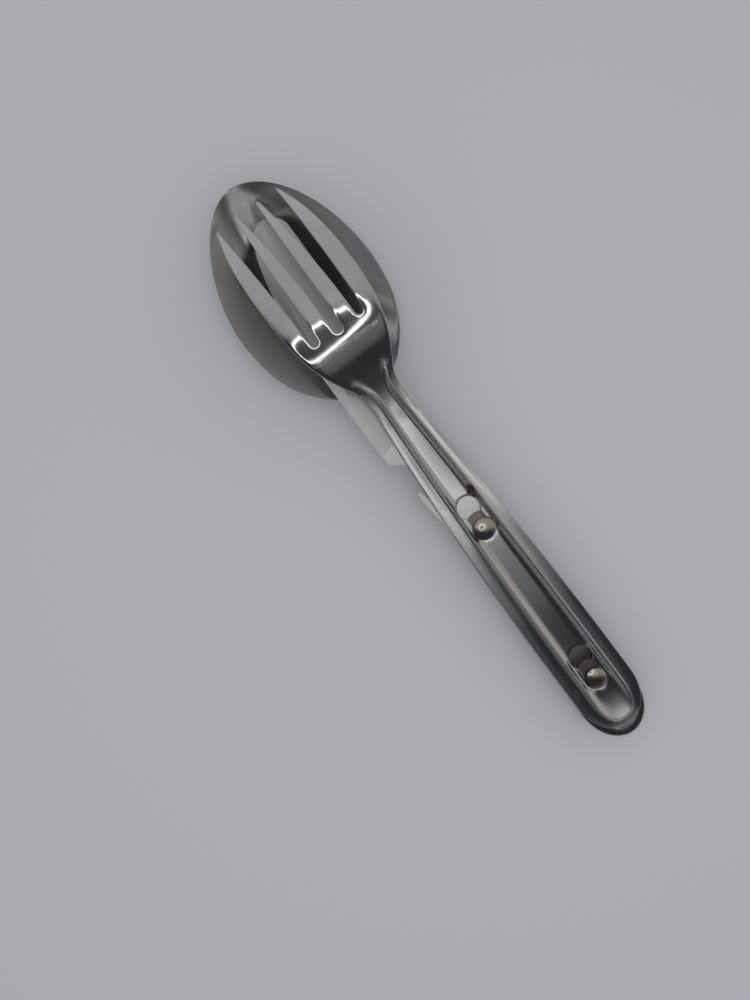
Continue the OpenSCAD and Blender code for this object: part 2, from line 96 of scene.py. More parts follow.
def to_row(p):
    """Points of the level set, in mm, laid down on bowl and handle end, in metres."""
    x, y, z = np.asarray(p, float).T
    c, s = math.cos(LIE), math.sin(LIE)
    return np.stack([x * c + z * s + SHIFT[0], y + SHIFT[1], z * c - x * s + SHIFT[2]], 1) * MM


def turn_row(n):
    """Directions of the level set, turned as to_row turns points."""
    x, y, z = np.asarray(n, float).T
    c, s = math.cos(LIE), math.sin(LIE)
    return np.stack([x * c + z * s, y, z * c - x * s], 1)


def smooth(a, b, x):
    t = np.clip((x - a) / (b - a), 0, 1)
    return t * t * (3 - 2 * t)


def soft_max(a, b, k):
    return (a + b + np.sqrt((a - b) ** 2 + k * k)) / 2


def round_off(t):
    return np.sqrt(np.maximum(0, 1 - t * t))


# ---------------------------------------------------------------- handles of fork and spoon
def handle_half_w(x):
    t = np.clip((x - NECK_X) / (WIDEST_X - NECK_X), 0, 1)
    return NECK_W / 2 + (HANDLE_HALF - NECK_W / 2) * (1 - (1 - t) ** 2)


def handle_outline(x, end_x):
    return handle_half_w(x) * round_off(np.maximum(0, (x - end_x + END_ROUND) / END_ROUND))


def into_neck(x, w, mid_x, back, blend):
    k = blend * smooth(mid_x, mid_x + back / 2, x) * (1 - smooth(mid_x + back, NECK_X, x))
    return soft_max(w, NECK_W / 2, k)


def oval(a, b):
    """1 on an oval that is squarer than an ellipse."""
    return (np.abs(a) ** CREST_OVAL + np.abs(b) ** CREST_OVAL).clip(1e-9) ** (1 / CREST_OVAL)


def across(x, y, end_x, half):
    """0 to 1 from the axis to the crest, 1 to 2 from the crest to the edge."""
    w = np.where(x < NECK_X, np.maximum(0.6, half(x)), handle_half_w(x))
    p = PANEL_SHARE * handle_half_w(x) + FLARE * np.maximum(0, FLARE_X - x) ** 2
    p = np.minimum(p, 0.8 * w)
    dx = np.maximum(0, x - end_x + END_ROUND)
    r = np.maximum(1e-3, np.hypot(dx, y))
    r_edge = r / np.hypot(dx / END_ROUND, y / w).clip(1e-6)
    r_crest = r / oval(dx / (END_ROUND - END_RIB), y / p)
    return np.where(r < r_crest, r / r_crest, 1 + np.minimum(1, (r - r_crest) / (r_edge - r_crest)))


def ribbed(s):
    rise = PANEL_DISH * s * s + (CREST_H - PANEL_DISH) * (
        np.maximum(0, (s - 1 + PANEL_RISE) / PANEL_RISE) ** RISE_POWER)
    drop = CREST_H + (SHOULDER_H - CREST_H) * (s - 1) / CREST_DROP
    t = (s - 1 - CREST_DROP) / (1 - CREST_DROP)
    rib = SHOULDER_H - RIB_FALL * t + (LIP_H - SHOULDER_H + RIB_FALL) * t ** 3
    return np.where(s < 1, rise, np.where(s < 1 + CREST_DROP, drop, rib))


CREST_BLUR = np.linspace(-0.055, 0.055, 15)
CREST_WEIGHT = 1 + np.cos(CREST_BLUR / 0.06 * math.pi)


def relief(x, y, end_x, half):
    """Ribbed section, with its crest and its shoulder rounded by averaging over a narrow width."""
    s = across(x, y, end_x, half)
    h = sum(w * ribbed(np.clip(s + b, 0, 2)) for b, w in zip(CREST_BLUR, CREST_WEIGHT)) / CREST_WEIGHT.sum()
    return smooth(NECK_X - 13, NECK_X + 1, x) * h


# ---------------------------------------------------------------- spoon
def bowl_half_w(x):
    front = np.maximum(0, 1 - np.maximum(0, (BOWL_MID_X - x) / BOWL_MID_X) ** BOWL_POWER)
    back = round_off(np.maximum(0, (x - BOWL_MID_X) / BOWL_BACK))
    return BOWL_HALF * np.where(x < BOWL_MID_X, front ** (1 / BOWL_POWER), back)


def spoon_half_w(x):
    bowl = bowl_half_w(x)
    neck = into_neck(x, bowl, BOWL_MID_X, BOWL_BACK, 5.0)
    return np.where(x < BOWL_MID_X, bowl, np.where(x < NECK_X, neck, handle_outline(x, SPOON_L)))


def spoon_mid_y(x):
    back = 1 - smooth(BOWL_MID_X + BOWL_BACK / 2, NECK_X + 4, x)
    return -BOWL_OFFSET * smooth(0, BOWL_MID_X, x) * back


def spoon_top(x, y):
    """Upper face of the spoon, the inside of its bowl."""
    ahead = np.maximum(0, (BOWL_MID_X - x) / BOWL_MID_X)
    behind = np.clip((x - BOWL_MID_X) / (NECK_X + 1 - BOWL_MID_X), 0, 1)
    deep = BOWL_DEPTH * np.where(x < BOWL_MID_X, 1 - ahead ** BOWL_FRONT_DEEP,
                                 (1 + np.cos(math.pi * behind)) / 2)
    rim = BOWL_TIP_RISE * ahead ** 2 - PANEL_IN
    j = np.minimum(1, np.abs(y - spoon_mid_y(x)) / np.maximum(0.6, spoon_half_w(x)))
    j = np.maximum(0, j - BOWL_FLAT) / (1 - BOWL_FLAT)
    return rim - deep * (1 - j ** BOWL_SIDE_DEEP) - relief(x, y, SPOON_L, spoon_half_w)


# ---------------------------------------------------------------- fork
def border(x, root, tip, bend):
    along = np.clip((GAP_END_X - x) / (GAP_END_X - FORK_TIP_X), 0, 1)
    return root + (tip - root) * along ** bend


def head_half_w(x):
    front = np.maximum(0, (HEAD_MID_X - x) / (HEAD_MID_X - FORK_TIP_X)) ** 2.6
    back = round_off(np.maximum(0, (x - HEAD_MID_X) / HEAD_BACK))
    return np.where(x < HEAD_MID_X, HEAD_HALF - (HEAD_HALF - OUTER_TIP) * front, HEAD_HALF * back)


def fork_half_w(x):
    head = head_half_w(x)
    neck = into_neck(x, head, HEAD_MID_X, HEAD_BACK, 3.0)
    return np.where(x < HEAD_MID_X, head, np.where(x < NECK_X, neck, handle_outline(x, FORK_END_X)))


def arch(x):
    """Height over the panel: bent tines, a hump, a straight slope behind it and a soft foot."""
    low = KNIFE_FACE + TIP_CLEAR - PANEL_IN
    front = HUMP_H - (HUMP_H - low) * ((HUMP_X - x) / (HUMP_X - FORK_TIP_X)) ** 2
    d = x - HUMP_X
    bend = HUMP_H - FALL_SLOPE * d * d / (2 * FALL_BEND)
    straight = HUMP_H - FALL_SLOPE * (d - FALL_BEND / 2)
    foot_h = HUMP_H - FALL_SLOPE * (FALL_BEND / 2 + FALL_L)
    foot_l = 2 * foot_h / FALL_SLOPE
    left = np.maximum(0, foot_l - (d - FALL_BEND - FALL_L))
    foot = foot_h * (left / foot_l) ** 2
    back = np.where(d < FALL_BEND, bend, np.where(d < FALL_BEND + FALL_L, straight, foot))
    return np.where(x < HUMP_X, front, back)


def crown(x):
    front = 0.25 + 0.75 * smooth(FORK_TIP_X, HUMP_X, x)
    return HEAD_CROWN * np.where(x < HUMP_X, front, 1 - smooth(HUMP_X, NECK_X, x))


def fork_under(x, y):
    """Lower face of the fork, the one that faces the knife."""
    j = np.minimum(1, np.abs(y) / np.maximum(0.6, fork_half_w(x)))
    tip = crown(np.float64(FORK_TIP_X)) * (1 - smooth(FORK_TIP_X, FORK_TIP_X + 20, x))
    return PANEL_IN + arch(x) - crown(x) * j ** 8 + tip + relief(x, y, FORK_END_X, fork_half_w)


STEP = 0.05


def slopes(face, x, y):
    sx = (face(x + STEP, y) - face(x - STEP, y)) / (2 * STEP)
    sy = (face(x, y + STEP) - face(x, y - STEP)) / (2 * STEP)
    return sx, sy


def wall(face, x, y):
    """Sheet thickness measured straight down."""
    sx, sy = slopes(face, x, y)
    return SHEET_T * np.sqrt(1 + np.minimum(2, sx * sx + sy * sy))


def seat_drop(x, y):
    """How far the outer face sinks into the conical seats round the studs' heads."""
    r = np.minimum(np.hypot(x - FRONT_STUD_X, y), np.hypot(x - REAR_STUD_X, y))
    return SEAT_DEPTH * np.clip((SEAT_R - r) / (SEAT_R - SLOT_HALF), 0, 1)


def on_track(x, y):
    """1 on the flat strip beside a keyhole's slot, 0 away from it."""
    near = 0
    for stud_x in (FRONT_STUD_X, REAR_STUD_X):
        dx = np.maximum(0, np.maximum(x - stud_x, stud_x - TRAVEL - x))
        near = np.maximum(near, 1 - smooth(TRACK_HALF, TRACK_HALF + 1.1, np.hypot(dx, y)))
    return near


def fork_top(x, y):
    z = fork_under(x, y) + wall(fork_under, x, y)
    return z - (z - PANEL_OUT) * on_track(x, y) - seat_drop(x, y)


def spoon_under(x, y):
    z = spoon_top(x, y) - wall(spoon_top, x, y)
    return z - (z + PANEL_OUT) * on_track(x, y) + seat_drop(x, y)


# ---------------------------------------------------------------- outlines
def arc(cx, cy, r, a0, a1, n):
    a = np.radians(np.linspace(a0, a1, n))
    return np.stack([cx + r * np.cos(a), cy + r * np.sin(a)], 1)


def spaced(points, step, closed=True):
    """The same line with points about one step apart."""
    p = np.asarray(points, float)
    if closed:
        p = np.vstack([p, p[:1]])
    seg = np.hypot(*np.diff(p, axis=0).T)
    keep = np.append(True, seg > 1e-6)
    p = p[keep]
    at = np.append(0, np.cumsum(np.hypot(*np.diff(p, axis=0).T)))
    n = max(8, int(round(at[-1] / step)))
    t = np.linspace(0, at[-1], n + 1)[:-1] if closed else np.linspace(0, at[-1], n + 1)
    return np.stack([np.interp(t, at, p[:, 0]), np.interp(t, at, p[:, 1])], 1)


def keyhole(stud_x):
    """Round end, filleted into the slot, and the slot's own round end, as one loop."""
    cx = stud_x - TRAVEL
    fy = SLOT_HALF + SLOT_FILLET
    fx = math.sqrt((KEYHOLE_R + SLOT_FILLET) ** 2 - fy ** 2)
    a = math.degrees(math.atan2(fy, fx))
    upper = arc(cx + fx, fy, SLOT_FILLET, 180 + a, 270, 9)
    lower = arc(cx + fx, -fy, SLOT_FILLET, 180 - a, 90, 9)
    return np.vstack([arc(cx, 0, KEYHOLE_R, a, 360 - a, 64), lower,
                      arc(stud_x, 0, SLOT_HALF, -90, 90, 32), upper[::-1]])


def handle_end(end_x, side, n=40):
    t = np.linspace(0, 90, n)
    x = end_x - END_ROUND + END_ROUND * np.sin(np.radians(t))
    return np.stack([x, side * handle_outline(x, end_x)], 1)


def spoon_loop():
    th = np.radians(np.linspace(0, 90, 90))
    x_bowl = BOWL_MID_X * (1 - np.cos(th) ** (2 / BOWL_POWER))
    w_bowl = BOWL_HALF * np.sin(th) ** (2 / BOWL_POWER)
    x = np.concatenate([np.linspace(BOWL_MID_X, NECK_X, 120)[1:],
                        np.linspace(NECK_X, SPOON_L - END_ROUND, 100)[1:-1]])
    sides = []
    for side in (-1, 1):
        bowl = np.stack([x_bowl, side * w_bowl + spoon_mid_y(x_bowl)], 1)
        rest = np.stack([x, side * spoon_half_w(x) + spoon_mid_y(x)], 1)
        sides.append(np.vstack([bowl, rest, handle_end(SPOON_L, side)]))
    return np.vstack([sides[0], sides[1][::-1][1:-1]])


def tine_tip(lo, hi):
    """Rounded point of a tine between its two borders, from the low one to the high one."""
    a, b = float(lo(FORK_TIP_X)), float(hi(FORK_TIP_X))
    r = (b - a) / 2
    turn = arc(FORK_TIP_X + r, (a + b) / 2, r, 270, 90, 12)
    return turn


def fork_loop():
    def mid(x): return border(x, INNER_ROOT, INNER_TIP, 2.2)
    def inner(x): return border(x, INNER_OUT_ROOT, INNER_OUT_TIP, 1.7)
    def outer(x): return border(x, OUTER_IN_ROOT, OUTER_IN_TIP, 1)

    def line(f, x0, x1, side=1, n=90):
        x = np.linspace(x0, x1, n)
        return np.stack([x, side * f(x)], 1)

    def gap(lo, hi, end_x):
        """Closed end of a gap and where its borders meet it."""
        r = float(hi(end_x) - lo(end_x)) / 2
        cx = end_x - r
        return cx, arc(cx, float(lo(cx) + hi(cx)) / 2, r, -82, 82, 18)

    cx_mid, end_mid = gap(lambda x: -mid(x), mid, GAP_END_X)
    cx_side, end_side = gap(inner, outer, GAP_END_X - SIDE_GAP_BACK)
    tip_in, tip_out = tine_tip(mid, inner), tine_tip(outer, head_half_w)
    upper = np.vstack([
        end_mid[9:],
        line(mid, cx_mid, FORK_TIP_X + 0.5)[1:], tip_in,
        line(inner, FORK_TIP_X + 0.5, cx_side)[:-1], end_side,
        line(outer, cx_side, FORK_TIP_X + 0.3)[1:], tip_out,
        line(fork_half_w, FORK_TIP_X + 0.3, NECK_X, n=160)[1:],
        line(fork_half_w, NECK_X, FORK_END_X - END_ROUND, n=100)[1:-1],
        handle_end(FORK_END_X, 1)])
    lower = upper[::-1] * np.array([1, -1])
    return np.vstack([upper, lower[1:-1]])


def ellipse_rows(end_x):
    """Points of a handle on lines of equal place across it, close together at the crest."""
    s = np.array([0, 0.12, 0.24, 0.36, 0.46, 0.54, 0.6, 0.66, 0.72, 0.78, 0.83, 0.87, 0.9, 0.925, 0.95,
                  0.97, 0.985, 1.0, 1.015, 1.03, 1.05, 1.07, 1.09, 1.11, 1.13, 1.15, 1.17, 1.2, 1.24,
                  1.3, 1.37, 1.45, 1.54, 1.63, 1.72, 1.8, 1.87, 1.93])
    pts = []
    for x in np.arange(NECK_X - 12, end_x - END_ROUND, 0.5):
        w = float(handle_half_w(x))
        p = PANEL_SHARE * w
        y = np.where(s < 1, p * s, p + (w - p) * (s - 1))
        pts.append(np.stack([np.full(2 * len(s) - 1, x), np.concatenate([-y[:0:-1], y])], 1))
    w = HANDLE_HALF
    for a in np.radians(np.arange(-87, 88, 3.0)):
        c, sn = math.cos(a), math.sin(a)
        # the ray follows the ellipses' own parameter, so that the points stay evenly spread
        ex, ey = END_ROUND * c, w * sn
        ux, uy = ex / math.hypot(ex, ey), ey / math.hypot(ex, ey)
        r_edge = 1 / math.hypot(ux / END_ROUND, uy / w)
        r_crest = 1 / float(oval(ux / (END_ROUND - END_RIB), uy / (PANEL_SHARE * w)))
        r = np.where(s < 1, r_crest * s, r_crest + (r_edge - r_crest) * (s - 1))[2:]
        pts.append(np.stack([end_x - END_ROUND + r * ux, r * uy], 1))
    return np.vstack(pts)


def grid(x0, x1, y0, y1, step):
    x, y = np.meshgrid(np.arange(x0, x1, step), np.arange(y0, y1, step))
    y = y + np.where(np.arange(x.shape[1]) % 2, step / 2, 0)
    return np.stack([x.ravel(), y.ravel()], 1)


# ---------------------------------------------------------------- meshes
class Rim:
    """The border lines of a plate, with the nearest place on them for any point."""

    def __init__(self, loops):
        self.start, self.end = [], []
        for loop in loops:
            self.start.append(loop)
            self.end.append(np.roll(loop, -1, axis=0))
        self.start, self.end = np.vstack(self.start), np.vstack(self.end)
        n = len(self.start)
        self.tree = KDTree(n)
        for i, p in enumerate(self.start):
            self.tree.insert((p[0], p[1], 0), i)
        self.tree.balance()
        self.before = np.empty(n, int)
        k = 0
        for loop in loops:
            m = len(loop)
            self.before[k:k + m] = k + (np.arange(m) - 1) % m
            k += m

    def nearest(self, pts):
        """Distance to the border and the border's nearest place."""
        i = np.array([self.tree.find((p[0], p[1], 0))[1] for p in pts])
        best, foot = np.full(len(pts), 1e9), np.zeros((len(pts), 2))
        for k in (i, self.before[i]):
            a, b = self.start[k], self.end[k]
            ab = b - a
            t = np.clip(((pts - a) * ab).sum(1) / np.maximum(1e-12, (ab * ab).sum(1)), 0, 1)
            q = a + ab * t[:, None]
            d = np.hypot(*(pts - q).T)
            closer = d < best
            best[closer], foot[closer] = d[closer], q[closer]
        return best, foot


def in_loop(pts, loop):
    """Which points lie inside a closed loop."""
    x, y = pts.T
    inside = np.zeros(len(pts), bool)
    for (x0, y0), (x1, y1) in zip(loop, np.roll(loop, -1, axis=0)):
        crosses = (y0 > y) != (y1 > y)
        if crosses.any():
            inside ^= crosses & (x < (x1 - x0) * (y - y0) / (y1 - y0 + 1e-300) + x0)
    return inside


def signed_area(loop):
    x, y = loop.T
    return (x * np.roll(y, -1) - y * np.roll(x, -1)).sum() / 2


def plate(name, outer, holes, inner, top, under, edge_r, roll=(0.8, 0.0)):
    """A closed plate between two faces, with edges rounded by edge_r and rolled off before that."""
    roll_w, roll_h = roll
    if signed_area(outer) < 0:
        outer = outer[::-1]
    holes = [h if signed_area(h) < 0 else h[::-1] for h in holes]
    loops = [outer] + holes
    rim = Rim(loops)
    extra = []
    for loop in loops:
        along = np.roll(loop, -1, axis=0) - np.roll(loop, 1, axis=0)
        along /= np.hypot(*along.T)[:, None]
        inward = np.stack([-along[:, 1], along[:, 0]], 1)
        for a in (15, 30, 47, 66, 90):
            depth = edge_r * (1 - math.cos(math.radians(a)))
            ring = loop + inward * depth
            d, _ = rim.nearest(ring)
            extra.append(ring[d > depth * 0.96])
        for depth in (0.45 * roll_w, 0.75 * roll_w) if roll_h else ():
            ring = loop + inward * depth
            d, _ = rim.nearest(ring)
            extra.append(ring[d > depth * 0.96][::2])
    d, _ = rim.nearest(inner)
    extra.append(inner[d > edge_r * 1.35])
    extra = np.vstack(extra)
    verts = np.vstack(loops + [extra])
    edges, k = [], 0
    for loop in loops:
        m = len(loop)
        edges += [(k + i, k + (i + 1) % m) for i in range(m)]
        k += m
    out = delaunay_2d_cdt([tuple(v) for v in verts], edges, [], 1, 1e-5, False)
    v = np.array([tuple(p) for p in out[0]])
    f = np.array([t for t in out[2] if len(t) == 3])
    mid = v[f].mean(1)
    keep = in_loop(mid, outer)
    for h in holes:
        keep &= ~in_loop(mid, h)
    f = f[keep]
    a, b, c = v[f[:, 0]], v[f[:, 1]], v[f[:, 2]]
    area = (b[:, 0] - a[:, 0]) * (c[:, 1] - a[:, 1]) - (b[:, 1] - a[:, 1]) * (c[:, 0] - a[:, 0])
    f = f[np.abs(area) > 1e-9]
    area = area[np.abs(area) > 1e-9]
    f[area < 0] = f[area < 0][:, ::-1]
    used, f = np.unique(f, return_inverse=True)
    v, f = v[used], f.reshape(-1, 3)

    # border edges, in the direction that keeps the metal on their left
    pairs = np.vstack([f[:, [0, 1]], f[:, [1, 2]], f[:, [2, 0]]])
    seen = {(int(i), int(j)) for i, j in pairs}
    open_edges = np.array([(i, j) for i, j in map(tuple, pairs.tolist()) if (j, i) not in seen])
    out_dir = np.zeros((len(v), 2))
    d_edge = v[open_edges[:, 1]] - v[open_edges[:, 0]]
    normal2 = np.stack([d_edge[:, 1], -d_edge[:, 0]], 1)
    normal2 /= np.hypot(*normal2.T)[:, None]
    np.add.at(out_dir, open_edges[:, 0], normal2)
    np.add.at(out_dir, open_edges[:, 1], normal2)
    on_rim = np.hypot(*out_dir.T) > 0.1

    d, foot = rim.nearest(v)
    d[on_rim] = 0
    away = foot - v
    length = np.hypot(*away.T)
    away = np.where(length[:, None] > 1e-7, away / np.maximum(length, 1e-9)[:, None], 0)
    rim_dir = out_dir / np.maximum(np.hypot(*out_dir.T), 1e-9)[:, None]
    away = np.where(on_rim[:, None], rim_dir, away)
    x, y = v.T
    sin_out = np.clip(1 - d / edge_r, 0, 1)
    cos_out = np.sqrt(1 - sin_out ** 2)
    near = np.clip(1 - d / roll_w, 0, 1)
    drop = edge_r * (1 - cos_out) + roll_h * near ** 2
    tilt = 2 * roll_h / roll_w * near

    def side(face, sign):
        z = face(x, y) - sign * drop
        sx, sy = slopes(face, x, y)
        n = np.stack([-sx, -sy, np.ones(len(x))], 1) * sign
        n[:, :2] += away * tilt[:, None]
        n /= np.linalg.norm(n, axis=1)[:, None]
        n = n * cos_out[:, None] + np.stack([away[:, 0], away[:, 1], np.zeros(len(x))], 1) * sin_out[:, None]
        n /= np.linalg.norm(n, axis=1)[:, None]
        return np.stack([x, y, z], 1), n

    top_v, top_n = side(top, 1)
    low_v, low_n = side(under, -1)
    n_v = len(v)
    wall_f = []
    for i, j in open_edges:
        wall_f += [(i, i + n_v, j + n_v), (i, j + n_v, j)]
    faces = np.vstack([f, f[:, ::-1] + n_v, np.array(wall_f)])
    return solid(name, np.vstack([top_v, low_v]), faces, np.vstack([top_n, low_n]))


def solid(name, verts, faces, normals=None):
    """A mesh object in the row frame from points in mm."""
    mesh = bpy.data.meshes.new(name)
    mesh.from_pydata(to_row(verts).tolist(), [], [tuple(f) for f in faces])
    mesh.shade_smooth()
    if normals is not None:
        mesh.normals_split_custom_set_from_vertices(turn_row(normals).tolist())
    mesh.validate(clean_customdata=False)
    mesh.update()
    obj = bpy.data.objects.new(name, mesh)
    bpy.context.scene.collection.objects.link(obj)
    return obj


def belly_point(a):
    a = np.radians(a)
    mid_x = KNIFE_TIP_X + 0.4 + BELLY_L
    return np.stack([mid_x - BELLY_L * np.cos(a), -EDGE_Y * np.sin(a)], -1)


def hook_line(x):
    top = NOTCH_X + POCKET_DX + 1
    left = 1 - np.clip((x - top) / (NOTCH_X + HOOK_L - top), 0, 1)
    return (KNIFE_HANDLE_HALF + (HOOK_Y - KNIFE_HANDLE_HALF) * left
            - 0.35 * (1 - smooth(NOTCH_X + HOOK_DX, top, x)))


def knife_loop():
    tip_c = np.array([KNIFE_TIP_X + KNIFE_TIP_R, SPINE_TIP_Y - KNIFE_TIP_R])
    belly = belly_point(np.linspace(6, 90, 90))
    # the round tip runs from the back's line round to where the belly takes over
    turn = arc(*tip_c, KNIFE_TIP_R, 90, 196, 40)
    inside = np.hypot(*(belly - tip_c).T) > KNIFE_TIP_R
    belly = belly[inside]
    ang = math.degrees(math.atan2(belly[0, 1] - tip_c[1], belly[0, 0] - tip_c[0])) % 360
    turn = arc(*tip_c, KNIFE_TIP_R, 90, ang - 1, 44)
    # notch: the circle round its middle, then the pocket, as far as the hook's inner edge
    d = POCKET_DX
    xi = (d * d + NOTCH_R ** 2 - POCKET_R ** 2) / (2 * d)
    yi = math.sqrt(NOTCH_R ** 2 - xi ** 2)
    a_notch = math.degrees(math.atan2(yi, xi))
    a_pocket = math.degrees(math.atan2(yi, xi - d))
    notch = arc(NOTCH_X, -NOTCH_Y, NOTCH_R, 180, a_notch, 40)
    low = -math.degrees(math.atan2(yi, xi - d))
    pocket = arc(NOTCH_X + POCKET_DX, -NOTCH_Y, POCKET_R, a_pocket, low, 44)[1:]
    edge_cut = pocket[:, 1] > -hook_line(pocket[:, 0]) + 0.6
    pocket = pocket[edge_cut]
    x_hook = np.linspace(max(NOTCH_X + HOOK_DX, pocket[-1, 0] - 0.1), NOTCH_X + HOOK_L, 60)
    hook = np.stack([x_hook, -hook_line(x_hook)], 1)
    end_c = KNIFE_END_X - KNIFE_HANDLE_HALF
    return np.vstack([
        turn, belly, [[PLUNGE_X, -EDGE_Y], [HEEL_X, -EDGE_Y],
                      [NOTCH_X - NOTCH_R - 0.7, -NOTCH_Y - 1.4]], notch, pocket, hook,
        arc(end_c, 0, KNIFE_HANDLE_HALF, -90, 90, 48),
        [[NECK_X + 4, KNIFE_HANDLE_HALF]]])


GROUND = np.vstack([belly_point(np.linspace(16, 90, 60)), [[PLUNGE_X, -EDGE_Y]]])
ground_rim = Rim([np.vstack([GROUND, GROUND[::-1][1:-1]])])


def ground_drop(x, y):
    """How much each face of the blade is ground away towards the cutting edge."""
    pts = np.stack([x, y], 1)
    d, _ = ground_rim.nearest(pts)
    stop = 1 - smooth(PLUNGE_X - 0.9, PLUNGE_X, x)
    start = smooth(GROUND[0, 0] - 0.5, GROUND[0, 0] + 3, x)
    return (KNIFE_FACE - EDGE_T / 2) * np.clip(1 - d / BEVEL_W, 0, 1) * stop * start


def knife_top(x, y):
    return KNIFE_FACE - ground_drop(x, y)


def knife_under(x, y):
    return -KNIFE_FACE + ground_drop(x, y)


# ---------------------------------------------------------------- node tools
class Value:
    """One socket of a material, with arithmetic that adds Math nodes."""

    def __init__(self, tree, socket):
        self.tree, self.socket = tree, socket

    def math(self, op, *others):
        inputs = dict(enumerate((self,) + others))
        return self.tree.node("ShaderNodeMath", {"operation": op}, inputs)

    def flip(self, op, other):
        return self.tree.node("ShaderNodeMath", {"operation": op}, {0: other, 1: self})

    def __add__(self, o): return self.math("ADD", o)
    def __radd__(self, o): return self.flip("ADD", o)
    def __sub__(self, o): return self.math("SUBTRACT", o)
    def __rsub__(self, o): return self.flip("SUBTRACT", o)
    def __mul__(self, o): return self.math("MULTIPLY", o)
    def __rmul__(self, o): return self.flip("MULTIPLY", o)
    def __truediv__(self, o): return self.math("DIVIDE", o)
    def __pow__(self, o): return self.math("POWER", o)

    def clamp(self):
        return self.tree.node("ShaderNodeClamp", {}, {0: self})

    def ease(self, low, high):
        """0 below low, 1 above high, smooth between."""
        return self.tree.node("ShaderNodeMapRange", {"interpolation_type": "SMOOTHSTEP"},
                              {"Value": self, "From Min": low, "From Max": high})


class Tree:
    """A node tree being built."""

    def __init__(self, tree):
        self.nodes, self.links = tree.nodes, tree.links
        self.nodes.clear()

    def node(self, kind, settings, inputs, out=0):
        made = self.nodes.new(kind)
        for key, value in settings.items():
            if key == "stops":
                ramp = made.color_ramp
                while len(ramp.elements) > 1:
                    ramp.elements.remove(ramp.elements[-1])
                for i, (pos, colour) in enumerate(value):
                    stop = ramp.elements[0] if i == 0 else ramp.elements.new(pos)
                    stop.position = pos
                    stop.color = (*colour, 1) if isinstance(colour, tuple) else (colour,) * 3 + (1,)
            else:
                setattr(made, key, value)
        for key, value in inputs.items():
            if isinstance(value, Value):
                self.links.new(value.socket, made.inputs[key])
            else:
                made.inputs[key].default_value = value
        return Value(self, made.outputs[out])

    def split(self, vector):
        made = self.nodes.new("ShaderNodeSeparateXYZ")
        self.links.new(vector.socket, made.inputs[0])
        return [Value(self, o) for o in made.outputs]

    def join(self, x, y, z):
        return self.node("ShaderNodeCombineXYZ", {}, {0: x, 1: y, 2: z})


class Finish(Tree):
    """A material or a world being built."""

    def __init__(self, name, world=False):
        self.block = (bpy.data.worlds if world else bpy.data.materials).new(name)
        self.block.use_nodes = True
        super().__init__(self.block.node_tree)

    def place(self):
        """Object coordinates in millimetres."""
        at = self.node("ShaderNodeTexCoord", {}, {}, "Object")
        return self.node("ShaderNodeVectorMath", {"operation": "SCALE"}, {0: at, "Scale": 1000.0})

    def noise(self, vector, scale, detail=2.0, rough=0.5):
        return self.node("ShaderNodeTexNoise", {}, {"Vector": vector, "Scale": scale, "Detail": detail,
                                                    "Roughness": rough})

    def mix(self, factor, a, b):
        made = self.nodes.new("ShaderNodeMix")
        made.data_type = "RGBA"
        for index, value in ((0, factor), (6, a), (7, b)):
            if isinstance(value, Value):
                self.links.new(value.socket, made.inputs[index])
            else:
                made.inputs[index].default_value = value
        return Value(self, made.outputs[2])

    def scaled(self, colour, factor):
        return self.node("ShaderNodeVectorMath", {"operation": "SCALE"}, {0: colour, "Scale": factor})

    def bump(self, height, strength, distance):
        return self.node("ShaderNodeBump", {}, {"Height": height, "Strength": strength, "Distance": distance})

    def end(self, shader):
        out = self.nodes.new("ShaderNodeOutputMaterial")
        self.links.new(shader.socket, out.inputs["Surface"])
        return self.block

    def metal(self, colour, roughness, metallic, normal):
        return self.node("ShaderNodeBsdfPrincipled", {}, {"Base Color": colour, "Metallic": metallic,
                                                          "Roughness": roughness, "Normal": normal})


def spot(x, y, at, size, ragged):
    """1 inside a ragged oval, 0 outside."""
    dx, dy = (x - at[0]) * (1 / size[0]), (y - at[1]) * (1 / size[1])
    away = (dx * dx + dy * dy) ** 0.5 + (ragged - 0.5) * 3.0
    return 1 - away.ease(0.75, 1.05)


def band(v, low, high, soft):
    """1 between low and high, 0 outside."""
    return v.ease(low - soft, low + soft) * (1 - v.ease(high - soft, high + soft))


class Wear:
    """What wear and painted shade do to a steel: dull darkens its colour (below 0 it brightens), marks raise
    its surface.
    """

    def __init__(self, rough, rust=None, dull=None, marks=None, brushing=1.0, metallic=1.0):
        self.rough, self.rust, self.dull = rough, rust, dull
        self.marks, self.brushing, self.metallic = marks, brushing, metallic


def fork_wear(f, x, y):
    """Brushed tines, a polished head, a satin handle, two rust spots and a few cross scratches."""
    tines = 1 - x.ease(40.5, 44.5)
    panel = band(x, 84, 112, 5) * band(y, -2.6, 2.6, 1.2)
    head = band(x, 43, 60, 2)
    ragged = f.noise(f.join(x, y, 0.0), 1.1, 3.0, 0.7)
    rust = spot(x, y, (102.4, 3.2), (2.1, 1.1), ragged) + spot(x, y, (163.9, -7.0), (1.0, 0.7), ragged)
    scored = band(x, 52.6, 53.6, 0.15) * f.noise(f.join(x * 9.0, y * 0.3, 1.0), 1.0, 1.0).ease(0.5, 0.62)
    handle = x.ease(60, 72) * (1 - x.ease(105, 128)) * (1 - panel)
    end = x.ease(166, 173) * band(y, -3.8, 3.8, 1.6)
    rough = 0.13 + tines * 0.17 + handle * 0.12 + panel * 0.1 + end * 0.28 - head * 0.04
    return Wear(rough, rust=rust.clamp(), marks=scored * 1.2, brushing=0.35 + tines * 1.4)


